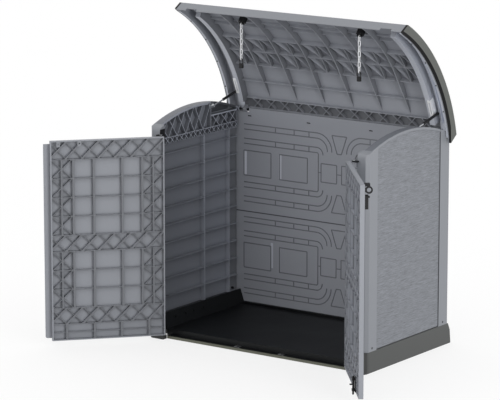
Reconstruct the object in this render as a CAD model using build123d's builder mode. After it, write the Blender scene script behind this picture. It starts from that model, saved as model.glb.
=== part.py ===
from build123d import *
import os
from math import asin, atan2, cos, hypot, pi, radians, sin, sqrt

# Garden storage box: ribbed resin walls, two doors and a curved lid on gas struts.
# Millimetres. +X is right seen from the front, -Y is the front, +Z is up.
# The origin is the middle of the base, on the ground. Doors and lid stand open.

os.makedirs("parts", exist_ok=True)
SIDES = ((-1, "left"), (1, "right"))

# How deep a rib is rooted in the skin that it stands on
RIB_ROOT = 2

# Base
BASE_WIDTH = 1386
BASE_DEPTH = 832
BASE_HEIGHT = 112
BASE_SKIN = 6
RAIL_WIDTH = 31
REAR_SLOPE = 28
REAR_KNEE = (9, 75)
CORNER_FRONT = -424
CORNER_BACK = -392
CORNER_ROUND = 28
FOOT_HEIGHT = 22
FOOT_INNER = 596

# Floor tray
FLOOR_TOP = 42
FLOOR_SKIN = 5
FLOOR_HALF = 628
FLOOR_FRONT = -346
FLOOR_BACK = 374
UPSTAND_TOP = 120
UPSTAND_LEAN = 27
UPSTAND_HOLES = (-250, -160, -85, 0)
UPSTAND_HOLE_RADIUS = 6
CURB_DEPTH = 14
CURB_HEIGHT = 12
FOOT_RIBS_ACROSS = 7
FOOT_RIBS_ALONG = 5
FOOT_RIB = 6
LEDGE_FRONT = -383
LEDGE_HEIGHT = 14
SILL_THICK = 6
KEEPER_SIZE = (34, 22, 2)
LEFT_KEEPER_X = -150

# Walls
WALL_SKIN = 4
WALL_THICK = 33
RIM_WIDTH = 29
RIM_DEPTH = 12
FRONT_RIM = (48, 60)
BORDER_DEPTH = 8
POST_FACE = -402
POST_BEVEL = 16
SHOULDER = 24
FRONT_POST_END = -311
REAR_POST_START = 291
WALL_BACK = 386
REAR_BEVEL = 8
REAR_RETURN = 640
OPENING_HALF = 626
OPENING_RETURN = -362
ARCH_APEX = 1221
ARCH_RADIUS = 1030
ARCH_MIDDLE = -10
WALL_RIB = 4
WALL_RIB_FIRST = 204
WALL_RIB_PITCH = 98
WALL_RIB_COUNT = 9
WALL_RIB_END = 352
WALL_UPRIGHTS = ((43, 12), (277, 5))
ZIGZAG_BOTTOM = 1040
ZIGZAG_TOP = 1074
ZIGZAG_PITCH = 42
TRUSS_PITCH = 78
TRUSS_END = 104
POCKET_END = 346
POCKET_LEDGE = (1138, 8)
SCREW_PLACES = ((-352, 129), (335, 129))
SCREW_RADIUS = 6
SCREW_HEAD = 2.5

# Back panels
BACK_FACE = 375
BACK_THICK = 6.5
BACK_HALF = 683
BACK_SEAM = 566
BACK_TOP = 1148
HINGE_NOTCH = (598, 1125)
GROOVE_WIDTH = 6
GROOVE_DEPTH = 2.5
PATTERN_CENTRES = (317, 839)
PATTERN_END = 632
TRACK_END = 146
TRACK_LINES = ((217, 98), (188, 69), (137, 40), (108, 10))
TRACK_TICKS = (198, 296, 420)
PANEL_BOXES = ((632, 450), (392, 208))
PANEL_BOX_HEIGHT = 140
CENTRE_SQUARE = (118, 16, 102)
FUNNEL = (48, 14, 213, 114)
VENT_SLOTS = (-594, -202, 202, 594)
VENT_HEIGHT = 1104
VENT_SIZE = (24, 6)

# Doors, given closed: they turn on pins in front of their outer faces
DOOR_BOTTOM = 29
DOOR_TOP = 1109
DOOR_THICK = 24
DOOR_SKIN = 4
DOOR_FACE = -395
DOOR_EDGE = 622
PIVOT_X = 612
PIVOT_Y = -412
LEFT_WIDTH = 610
RIGHT_WIDTH = 628
LEFT_OPEN = 132.3
RIGHT_OPEN = 130.1
STRIP_REACH = 33
STRIP_HOLD = 22
STRIP_THICK = 4.5
STRIP_GAP = 1
STRIP_TRIM = (12, 18)
STRIP_ROUND = 10
DOOR_FRAME = 7
DOOR_RIB = 4
COLUMN_RIB = 11
BRACE_RIB = 9
BOTTOM_STRIP = 89
LATTICE_BAND = 88
ROW_HEIGHT = 102
LOWER_ROWS = 3
UPPER_ROWS = 4
COLUMN_RIBS = (0.195, 0.37, 0.62, 0.8)
STRIP_RIBS = (0.14, 0.385, 0.625, 0.87)
BRACE_COLUMN = 0.19
THIN_BRACE = 3.5
WIDE_BRACE = 8
PIN_RADIUS = 5
RUN_FIT = 0.05
KNUCKLE_RADIUS = 9
KNUCKLE_HEIGHT = 42
KNUCKLE_TOP = 1104
KNUCKLE_BOTTOM = 26
BRACKET_THICK = 8
BRACKET_PLATE = (3, 60)
BRACKET_REACH = 12
BRACKET_TOP = 1138

# Latches and handle
STRIKE_PLACES = (43, 155)
STRIKE_SIZE = (20, 32, 3)
STRIKE_HOLE = 4
HANDLE_FROM_EDGE = 100
HANDLE_PLATE = (32, 144, 6)
HANDLE_TOP = 1098
LOCK_BLOCK = (34, 14, 36)
RING_HEIGHT = 1064
RING_OUTER = 19
RING_INNER = 11
RING_THICK = 8
RING_STAND = 26
LEVER_PIVOT = 1029
LEVER_BOSS = 12
LEVER_SIZE = (20, 62, 22)
LEVER_GAP = 0.4
BOLT_FROM_EDGE = 138
BOLT_RADIUS = 5
BOLT_LOW = 17
BOLT_HIGH = 112
BOLT_STAND = 7
BOLT_PLATE = (36, 80, 4)
BOLT_GUIDES = (41, 97)
BOLT_GUIDE = (22, 10)
BOLT_KNOB = (4, 18)
BOLT_HOLE = 7

# Lid, given closed: an arc over the walls, turned open about its rear pins
LID_WIDTH = 1450
LID_RADIUS = 940
LID_APEX = 1250
LID_MIDDLE = -15
LID_FRONT = -412
LID_BACK = 390
LID_SKIN = 4
LID_OPEN = 52.5
HINGE_Y = 372
HINGE_Z = 1140
TRIM_WIDTH = 17
TRIM_DEPTH = 56
TRIM_BEVEL = 13
FLANGE_WIDTH = 12
FLANGE_DEPTH = 55
LIP_BOTTOM = (-419, 1102)
LIP_NOTCH = (582, 650, 1118)
REAR_LIP = 1146
TRIM_TIP = (388, 1092)
RAIL_INNER = 603
RAIL_OUTER = 633
RAIL_SPAN = (-366, 330)
THIN_RIB = (654, 657, 18)
RIB_XS = (92, 275, 455)
RIB_DEPTH = 42
RIB_THICK = 5
RIB_TAPER = (89, 314)
CROSS_RIBS = ((-273, 16), (-232, 20), (-127, 30), (-19, 30), (89, 30), (206, 26), (314, 22))
CROSS_RIB = 4
BRACE_BAND = (-127, -19, 89)
BRACE_DEPTH = 28
BRACE_THICK = 3
REAR_BAND = (314, 366)
REAR_BAND_DEPTH = 24
REAR_BRACE = 4
REAR_BAND_PITCH = 91
LUG_SPAN = (608, 630)
LUG_RADIUS = 13
LID_PIN = (601, 688)
BOSS_RADIUS = 14
TRIM_SCREWS = (-300, -115, 65, 240)
TRIM_SCREW = (3.5, 2.5)

# Gas struts
STRUT_X = 645
STRUT_WALL = (106, 1193)
STRUT_LID = (263, 1176)
STRUT_EYE = (8, 12)
ROD_RADIUS = 4
ROD_LENGTH = 140
CYLINDER_RADIUS = 7.5
CYLINDER_LENGTH = 141
STRUT_PLATE = (40, 26, 4)
STRUT_PIN_END = 640
LID_PLATE = (178, 275, 24, 3)
LID_PLATE_WIDTH = 20
LID_PLATE_SLOT = (7, 14)
LID_STUD = (6, 1.2)

# Chains
CHAIN_X = 376
CHAIN_Y = -300
MOUNT_RADIUS = 22
MOUNT_SIDES = 8
MOUNT_HEIGHT = 30
EAR_REACH = 8
EAR = (11, 4, 6)
CHAIN_PIN = 2.5
WIRE = 2.2
LINK_LENGTH = 28
LINK_WIDTH = 8
LINK_COUNT = 7
LINK_GAP = 0.3
CLIP_WIRE = 3
CLIP_LENGTH = 34
CLIP_WIDTH = 14
CLIP_BODY = (22, 26, 11)

# Worked out from the sizes above
WALL_OUT = BASE_WIDTH / 2
WALL_IN = WALL_OUT - WALL_THICK
LID_END = LID_WIDTH / 2
FLANGE_OUT = LID_END - TRIM_WIDTH
LID_CENTRE = LID_APEX - LID_RADIUS
LID_TURN = radians(-LID_OPEN)
PIVOT_REACH = DOOR_FACE - PIVOT_Y
REAR_RAIL = BACK_FACE + BACK_THICK
DOOR_OPEN = {-1: LEFT_OPEN, 1: RIGHT_OPEN}
DOOR_WIDTH = {-1: LEFT_WIDTH, 1: RIGHT_WIDTH}
BOLT_X = DOOR_EDGE - RIGHT_WIDTH + BOLT_FROM_EDGE
BOLT_Y = DOOR_FACE + DOOR_THICK + BOLT_PLATE[2] + BOLT_STAND


def finish(piece, name):
    """Label one finished piece and write it."""
    piece.part.label = name
    export_step(piece.part, f"parts/{name}.step")


def strips(lines, width):
    """Straight bands of the sketch in hand, one along each line."""
    bands = []
    for start, end in lines:
        run, rise = end[0] - start[0], end[1] - start[1]
        middle = ((start[0] + end[0]) / 2, (start[1] + end[1]) / 2, 0)
        place = Plane(origin=middle, x_dir=(run, rise, 0), z_dir=(0, 0, 1))
        bands.append(Face.make_rect(hypot(run, rise), width, place))
    add(bands)


def block(x0, x1, y0, y1, mode=Mode.ADD):
    """One upright rectangle of the sketch in hand, given by its edges."""
    with Locations(((x0 + x1) / 2, (y0 + y1) / 2)):
        Rectangle(abs(x1 - x0), abs(y1 - y0), mode=mode)


def outline(points):
    """One straight-sided face of the sketch in hand."""
    with BuildLine() as edge:
        Polyline(*points, close=True)
    make_face(edge.edges())


def crossing(x0, x1, y0, y1, pitch, lean):
    """Lines of the braces that lean one way across a band, cut off where the band ends."""
    run = y1 - y0
    lines = []
    start = x0 - run
    while start < x1:
        ends = max(start, x0), min(start + run, x1)
        if ends[1] - ends[0] > pitch / 12:
            lines.append([(x, y0 + x - start if lean > 0 else y1 - x + start) for x in ends])
        start += pitch
    return lines


def arch(y):
    """Height of a wall's arched top edge."""
    return ARCH_APEX - ARCH_RADIUS + sqrt(ARCH_RADIUS**2 - (y - ARCH_MIDDLE) ** 2)


def lid_point(y, depth):
    """Point of the closed lid, square below its outer arc at y."""
    lean = asin((y - LID_MIDDLE) / LID_RADIUS)
    reach = LID_RADIUS - depth
    return (LID_MIDDLE + reach * sin(lean), LID_CENTRE + reach * cos(lean))


def shoulder():
    """Arc that rounds a wall's front into its arched top: its front end, middle and arched end."""
    y = POST_FACE + SHOULDER
    rise = sqrt((ARCH_RADIUS - SHOULDER) ** 2 - (y - ARCH_MIDDLE) ** 2)
    lean = atan2(rise, y - ARCH_MIDDLE)
    place = ARCH_APEX - ARCH_RADIUS + rise
    return [(y + SHOULDER * cos(turn), place + SHOULDER * sin(turn)) for turn in (pi, (pi + lean) / 2, lean)]


def arch_band(depth, back):
    """Band of the sketch in hand along a wall's arched edge, from the front to some y."""
    middle = (POST_FACE + back) / 2
    top = [(y, arch(y)) for y in (POST_FACE, middle, back)]
    under = [(y, z - depth) for y, z in top]
    with BuildLine() as edge:
        ThreePointArc(*top)
        Line(top[2], under[2])
        ThreePointArc(*under)
        Line(under[0], top[0])
    make_face(edge.edges())


def seat(depth, radius):
    """Depth at which a flat piece of some radius rests under the curve of the lid."""
    return LID_RADIUS - sqrt((LID_RADIUS - depth) ** 2 - radius**2)


def lid_turned(y, z):
    """Where a point of the closed lid stands once the lid is open."""
    dy, dz = y - HINGE_Y, z - HINGE_Z
    run, rise = cos(LID_TURN), sin(LID_TURN)
    return (HINGE_Y + dy * run - dz * rise, HINGE_Z + dy * rise + dz * run)


def lid_side(x):
    """Side plane of the open lid, drawn on in the closed lid's y and z."""
    return Plane(
        origin=(x, *lid_turned(0, 0)), x_dir=(0, cos(LID_TURN), sin(LID_TURN)), z_dir=(1, 0, 0)
    )


def lid_sides(inner, outer):
    """Side planes, left and right, from which what lies between two distances is raised towards +X."""
    return lid_side(-outer), lid_side(inner)


def lid_under(x, y, depth):
    """Plane on the open lid's underside, facing down into the box."""
    lean = asin((y - LID_MIDDLE) / LID_RADIUS) - LID_TURN
    place = lid_turned(*lid_point(y, depth))
    return Plane(origin=(x, *place), x_dir=(1, 0, 0), z_dir=(0, -sin(lean), -cos(lean)))


def lid_band(y0, y1, depth0, depth1):
    """Curved band of the lid between two depths below its outer arc."""
    middle = (y0 + y1) / 2
    with BuildLine() as edge:
        ThreePointArc(lid_point(y0, depth0), lid_point(middle, depth0), lid_point(y1, depth0))
        Line(lid_point(y1, depth0), lid_point(y1, depth1))
        ThreePointArc(lid_point(y1, depth1), lid_point(middle, depth1), lid_point(y0, depth1))
        Line(lid_point(y0, depth1), lid_point(y0, depth0))
    make_face(edge.edges())


def door_turned(side, x, y):
    """Where a point of a closed door stands once the door is open."""
    turn = radians(side * DOOR_OPEN[side])
    dx, dy = x - side * PIVOT_X, y - PIVOT_Y
    return (side * PIVOT_X + dx * cos(turn) - dy * sin(turn), PIVOT_Y + dx * sin(turn) + dy * cos(turn))


def door_plane(side, depth):
    """Plane inside an open door: across from its hinge edge, then up. Inward is side times its normal."""
    turn = radians(side * DOOR_OPEN[side])
    across = (-side * cos(turn), -side * sin(turn), 0)
    place = door_turned(side, side * DOOR_EDGE, DOOR_FACE + depth)
    return Plane(origin=(*place, 0), x_dir=across, z_dir=(across[1], -across[0], 0))


def door_plan(side, z):
    """Level plane about an open door's pivot, drawn on as if the door were closed."""
    turn = radians(side * DOOR_OPEN[side])
    return Plane(origin=(side * PIVOT_X, PIVOT_Y, z), x_dir=(cos(turn), sin(turn), 0), z_dir=(0, 0, 1))


# Floor tray: one skin with sloped sides, on a grid of foot ribs
with BuildPart() as floor_panel:
    with BuildSketch(Plane.XZ.offset(-FLOOR_BACK)):
        low = FLOOR_TOP - FLOOR_SKIN
        lean = FLOOR_HALF + UPSTAND_LEAN
        outline((
            (-lean, UPSTAND_TOP), (-FLOOR_HALF, FLOOR_TOP), (FLOOR_HALF, FLOOR_TOP), (lean, UPSTAND_TOP),
            (lean + FLOOR_SKIN, UPSTAND_TOP), (FLOOR_HALF + FLOOR_SKIN, low),
            (-FLOOR_HALF - FLOOR_SKIN, low), (-lean - FLOOR_SKIN, UPSTAND_TOP),
        ))
    extrude(amount=FLOOR_BACK - FLOOR_FRONT)
    with BuildSketch():
        depth, middle = FLOOR_BACK - FLOOR_FRONT, (FLOOR_FRONT + FLOOR_BACK) / 2
        with GridLocations(0, (depth - FOOT_RIB) / (FOOT_RIBS_ALONG - 1), 1, FOOT_RIBS_ALONG):
            with Locations((0, middle)):
                Rectangle(2 * FLOOR_HALF, FOOT_RIB)
        with GridLocations((2 * FLOOR_HALF - FOOT_RIB) / (FOOT_RIBS_ACROSS - 1), 0, FOOT_RIBS_ACROSS, 1):
            with Locations((0, middle)):
                Rectangle(FOOT_RIB, depth)
    extrude(amount=FLOOR_TOP - FLOOR_SKIN / 2)
    with BuildSketch(Plane.XY.offset(FLOOR_TOP - FLOOR_SKIN / 2)):
        block(-FLOOR_HALF, FLOOR_HALF, FLOOR_BACK - CURB_DEPTH, FLOOR_BACK)
    extrude(amount=CURB_HEIGHT + FLOOR_SKIN / 2)
    with BuildSketch():
        block(-FOOT_INNER, FOOT_INNER, LEDGE_FRONT, FLOOR_FRONT + FOOT_RIB)
        with Locations((BOLT_X, BOLT_Y), (LEFT_KEEPER_X, BOLT_Y)):
            Circle(BOLT_HOLE, mode=Mode.SUBTRACT)
    extrude(amount=LEDGE_HEIGHT)
    with Locations(*[(0, y, (FLOOR_TOP + UPSTAND_TOP) / 2 + FOOT_RIB) for y in UPSTAND_HOLES]):
        Cylinder(UPSTAND_HOLE_RADIUS, 2 * BASE_WIDTH, rotation=(0, 90, 0), mode=Mode.SUBTRACT)
finish(floor_panel, "floor_panel")

with BuildPart() as front_sill:
    with BuildSketch():
        block(-FOOT_INNER, FOOT_INNER, LEDGE_FRONT - SILL_THICK, LEDGE_FRONT)
    extrude(amount=LEDGE_HEIGHT)
finish(front_sill, "front_sill")

with BuildPart() as floor_keepers:
    with BuildSketch(Plane.XY.offset(LEDGE_HEIGHT)):
        with Locations((BOLT_X, BOLT_Y), (LEFT_KEEPER_X, BOLT_Y)):
            Rectangle(KEEPER_SIZE[0], KEEPER_SIZE[1])
            Circle(BOLT_HOLE, mode=Mode.SUBTRACT)
    extrude(amount=KEEPER_SIZE[2])
finish(floor_keepers, "floor_keepers")

# Base rails: hollow skirts under the walls, with a corner block and a pivot foot each
for side, hand in SIDES:
    with BuildPart() as base_rail:
        with BuildSketch(Plane.XZ.offset(-REAR_RAIL)):
            block(side * WALL_OUT, side * (WALL_OUT - RAIL_WIDTH), 0, BASE_HEIGHT)
            block(
                side * (WALL_OUT - BASE_SKIN), side * (WALL_OUT - RAIL_WIDTH + BASE_SKIN),
                0, BASE_HEIGHT - BASE_SKIN, mode=Mode.SUBTRACT,
            )
        extrude(amount=REAR_RAIL - CORNER_BACK)
        with BuildSketch():
            block(side * OPENING_HALF, side * WALL_OUT, CORNER_FRONT, CORNER_BACK)
        extrude(amount=BASE_HEIGHT)
        corner = base_rail.edges().filter_by(Axis.Z).group_by(Axis.Y)[0].sort_by(Axis.X)
        fillet(corner[0] if side < 0 else corner[-1], radius=CORNER_ROUND)
        with BuildSketch():
            block(side * FOOT_INNER, side * OPENING_HALF, CORNER_FRONT, CORNER_BACK)
            with Locations((side * PIVOT_X, PIVOT_Y)):
                Circle(PIN_RADIUS + RUN_FIT, mode=Mode.SUBTRACT)
        extrude(amount=FOOT_HEIGHT)
    finish(base_rail, f"base_rail_{hand}")

with BuildPart() as base_rail_rear:
    rear = BASE_DEPTH / 2
    knee = rear - REAR_KNEE[0]
    with BuildSketch(Plane.YZ.offset(-WALL_OUT)):
        outline((
            (REAR_RAIL, 0), (REAR_RAIL, BASE_HEIGHT), (rear - REAR_SLOPE, BASE_HEIGHT),
            (knee, REAR_KNEE[1]), (rear, 0),
        ))
    extrude(amount=BASE_WIDTH)
    with BuildSketch(Plane.YZ.offset(-WALL_OUT + BASE_SKIN)):
        outline((
            (REAR_RAIL + BASE_SKIN, 0), (REAR_RAIL + BASE_SKIN, REAR_KNEE[1]),
            (knee - BASE_SKIN, REAR_KNEE[1]), (rear - BASE_SKIN, 0),
        ))
    extrude(amount=BASE_WIDTH - 2 * BASE_SKIN, mode=Mode.SUBTRACT)
finish(base_rail_rear, "base_rail_rear")

# Walls: one bent skin with posts, an arched rim and ribs on the inside
for side, hand in SIDES:
    skin = WALL_SKIN
    panel = WALL_OUT - skin
    slant = skin * (sqrt(2) - 1)
    outside = (
        (OPENING_HALF, OPENING_RETURN), (OPENING_HALF, POST_FACE), (WALL_OUT - POST_BEVEL, POST_FACE),
        (WALL_OUT, POST_FACE + POST_BEVEL), (WALL_OUT, FRONT_POST_END), (panel, FRONT_POST_END),
        (panel, REAR_POST_START), (WALL_OUT, REAR_POST_START), (WALL_OUT, WALL_BACK - REAR_BEVEL),
        (WALL_OUT - REAR_BEVEL, WALL_BACK), (REAR_RETURN, WALL_BACK),
    )
    inside = (
        (REAR_RETURN, WALL_BACK - skin), (WALL_OUT - REAR_BEVEL - slant, WALL_BACK - skin),
        (panel, WALL_BACK - REAR_BEVEL - slant), (panel, REAR_POST_START + skin),
        (panel - skin, REAR_POST_START + skin), (panel - skin, FRONT_POST_END - skin),
        (panel, FRONT_POST_END - skin), (panel, POST_FACE + POST_BEVEL + slant),
        (WALL_OUT - POST_BEVEL - slant, POST_FACE + skin), (OPENING_HALF + skin, POST_FACE + skin),
        (OPENING_HALF + skin, OPENING_RETURN),
    )
    with BuildPart() as wall:
        with BuildSketch(Plane.XY.offset(BASE_HEIGHT)):
            outline([(side * x, y) for x, y in outside + inside])
        extrude(amount=ARCH_APEX - BASE_HEIGHT)
        with BuildSketch(Plane.YZ.offset(side * WALL_IN)):
            front = POST_FACE + skin
            levels = [WALL_RIB_FIRST + row * WALL_RIB_PITCH for row in range(WALL_RIB_COUNT)]
            levels += [BASE_HEIGHT + WALL_RIB / 2, ZIGZAG_BOTTOM, ZIGZAG_TOP]
            lines = [((front, z), (WALL_RIB_END, z)) for z in levels]
            for lean in (-1, 1):
                lines += crossing(front, WALL_RIB_END, ZIGZAG_BOTTOM, ZIGZAG_TOP, ZIGZAG_PITCH, lean)
                lines += crossing(TRUSS_END, POCKET_END, ZIGZAG_TOP, POCKET_LEDGE[0], TRUSS_PITCH, lean)
            for end in (TRUSS_END, POCKET_END):
                lines.append(((end, ZIGZAG_TOP), (end, arch(end) - RIM_DEPTH / 2)))
            place = front + TRUSS_PITCH / 2
            while place < TRUSS_END:
                for far in (max(front, place - TRUSS_PITCH), min(TRUSS_END, place + TRUSS_PITCH)):
                    lines.append(((place, ZIGZAG_TOP), (far, arch(far) - RIM_DEPTH / 2)))
                place += TRUSS_PITCH
            strips(lines, WALL_RIB)
            for place, width in WALL_UPRIGHTS:
                strips([((place, BASE_HEIGHT), (place, ZIGZAG_BOTTOM))], width)
            strips([((TRUSS_END, POCKET_LEDGE[0]), (POCKET_END, POCKET_LEDGE[0]))], POCKET_LEDGE[1])
            with Locations(STRUT_WALL):
                Rectangle(STRUT_PLATE[0], STRUT_PLATE[1])
        extrude(amount=side * (WALL_THICK - 2 * skin + RIB_ROOT))
        for width, depth, back in (
            (RIM_WIDTH, RIM_DEPTH, WALL_BACK), (FRONT_RIM[0], RIM_DEPTH, FRONT_RIM[1]),
            (1.5 * skin, BORDER_DEPTH, WALL_BACK),
        ):
            with BuildSketch(Plane.YZ.offset(side * (WALL_OUT - width))):
                arch_band(depth, back)
            extrude(amount=side * width)
        rounding = shoulder()
        with BuildSketch(Plane.YZ.offset(side * OPENING_HALF)):
            block(POST_FACE, OPENING_RETURN, rounding[0][1] - skin, ARCH_APEX)
        extrude(amount=side * (WALL_OUT - OPENING_HALF))
        with BuildSketch(Plane.YZ.offset(side * (OPENING_HALF - WALL_SKIN))):
            with BuildLine():
                ends = (POST_FACE - skin, WALL_BACK + skin)
                ThreePointArc(*rounding)
                ThreePointArc(rounding[-1], (ARCH_MIDDLE, ARCH_APEX), (ends[1], arch(ends[1])))
                Polyline(
                    (ends[1], arch(ends[1])), (ends[1], ARCH_APEX + RIM_DEPTH),
                    (ends[0], ARCH_APEX + RIM_DEPTH), (ends[0], rounding[0][1]), rounding[0],
                )
            make_face()
        extrude(amount=side * (WALL_OUT - OPENING_HALF + 2 * WALL_SKIN), mode=Mode.SUBTRACT)
        with BuildSketch(Plane.XY.offset(BASE_HEIGHT)):
            bevel, beyond = WALL_OUT - POST_BEVEL, WALL_OUT + skin
            outline((
                (side * WALL_OUT, POST_FACE + POST_BEVEL), (side * beyond, POST_FACE + POST_BEVEL),
                (side * beyond, POST_FACE - skin), (side * bevel, POST_FACE - skin),
                (side * bevel, POST_FACE),
            ))
        extrude(amount=ARCH_APEX - BASE_HEIGHT, mode=Mode.SUBTRACT)
        with BuildSketch(Plane.YZ.offset(side * WALL_IN)):
            with Locations((HINGE_Y, HINGE_Z)):
                Circle(BOSS_RADIUS)
        extrude(amount=side * (WALL_THICK - skin / 2))
        with BuildSketch(Plane.YZ.offset(side * WALL_IN)):
            with Locations((HINGE_Y, HINGE_Z)):
                Circle(PIN_RADIUS + RUN_FIT)
            with Locations(*SCREW_PLACES):
                Circle(SCREW_RADIUS + RUN_FIT)
        extrude(amount=side * (WALL_THICK + skin), mode=Mode.SUBTRACT)
    finish(wall, f"{hand}_wall")

with BuildPart() as wall_screws:
    for side, hand in SIDES:
        with BuildSketch(Plane.YZ.offset(side * (WALL_OUT - WALL_THICK / 2))):
            with Locations(*SCREW_PLACES):
                Circle(SCREW_RADIUS)
        extrude(amount=side * (WALL_THICK / 2 - SCREW_HEAD / 2))
finish(wall_screws, "wall_screws")


def pattern_lines(middle):
    """Straight grooves of one back panel: nested tracks, boxes, a square and two funnels, mirrored."""
    heights = [height for height, bend in TRACK_LINES]
    inset = TRACK_END - TRACK_LINES[-1][1]
    reach = heights[-1] - TRACK_LINES[-1][1]
    loops = [[(x, middle + rise * z) for x, z in ((-FUNNEL[0], FUNNEL[2]), (FUNNEL[0], FUNNEL[2]),
              (FUNNEL[1], FUNNEL[3]), (-FUNNEL[1], FUNNEL[3]))] for rise in (-1, 1)]
    lines = [((-CENTRE_SQUARE[1], middle), (CENTRE_SQUARE[1], middle))]
    for side in (-1, 1):
        lines.append(((side * inset, middle - reach), (side * inset, middle + reach)))
        lines.append(((side * inset, middle), (side * CENTRE_SQUARE[0], middle)))
        for near, far, tall in [(*box, PANEL_BOX_HEIGHT) for box in PANEL_BOXES] + [CENTRE_SQUARE]:
            low, high = middle - tall / 2, middle + tall / 2
            loops.append([(side * near, low), (side * far, low), (side * far, high), (side * near, high)])
        for rise in (-1, 1):
            levels = [middle + rise * height for height in heights]
            lines += [((side * PATTERN_END, z), (side * TRACK_END, z)) for z in levels]
            for tick in TRACK_TICKS:
                lines.append(((side * tick, levels[0]), (side * tick, levels[1])))
                lines.append(((side * tick, levels[2]), (side * tick, levels[3])))
    for loop in loops:
        lines += zip(loop, loop[1:] + loop[:1])
    return lines


def pattern_bends(middle):
    """Quarter rings of the sketch in hand, where the tracks of one back panel turn."""
    for side in (-1, 1):
        for rise in (-1, 1):
            for height, bend in TRACK_LINES:
                centre = (side * TRACK_END, middle + rise * (height - bend))
                turns = [[(centre[0] - side * r * sin(radians(a)), centre[1] + rise * r * cos(radians(a)))
                          for a in (0, 45, 90)] for r in (bend - GROOVE_WIDTH / 2, bend + GROOVE_WIDTH / 2)]
                with BuildLine() as edge:
                    ThreePointArc(*turns[0])
                    ThreePointArc(*turns[1])
                    Line(turns[0][0], turns[1][0])
                    Line(turns[0][2], turns[1][2])
                make_face(edge.edges())


# Back panels: flat skins embossed on the inside
for name, low, high, middle in (
    ("back_panel_lower", FLOOR_TOP + CURB_HEIGHT, BACK_SEAM, PATTERN_CENTRES[0]),
    ("back_panel_upper", BACK_SEAM, BACK_TOP, PATTERN_CENTRES[1]),
):
    with BuildPart() as back_panel:
        with BuildSketch(Plane.XZ.offset(-BACK_FACE)):
            block(-BACK_HALF, BACK_HALF, low, high)
            for side in (-1, 1):
                block(side * HINGE_NOTCH[0], side * WALL_OUT, HINGE_NOTCH[1], LID_APEX, mode=Mode.SUBTRACT)
                block(side * (WALL_OUT - RAIL_WIDTH), side * WALL_OUT, 0, BASE_HEIGHT, mode=Mode.SUBTRACT)
        extrude(amount=-BACK_THICK)
        with BuildSketch(Plane.XZ.offset(-BACK_FACE)):
            strips(pattern_lines(middle), GROOVE_WIDTH)
            if high > VENT_HEIGHT:
                with Locations(*[(x, VENT_HEIGHT) for x in VENT_SLOTS]):
                    SlotOverall(*VENT_SIZE)
        extrude(amount=-GROOVE_DEPTH, mode=Mode.SUBTRACT)
        with BuildSketch(Plane.XZ.offset(-BACK_FACE)):
            pattern_bends(middle)
        extrude(amount=-GROOVE_DEPTH, mode=Mode.SUBTRACT)
    finish(back_panel, name)

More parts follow.
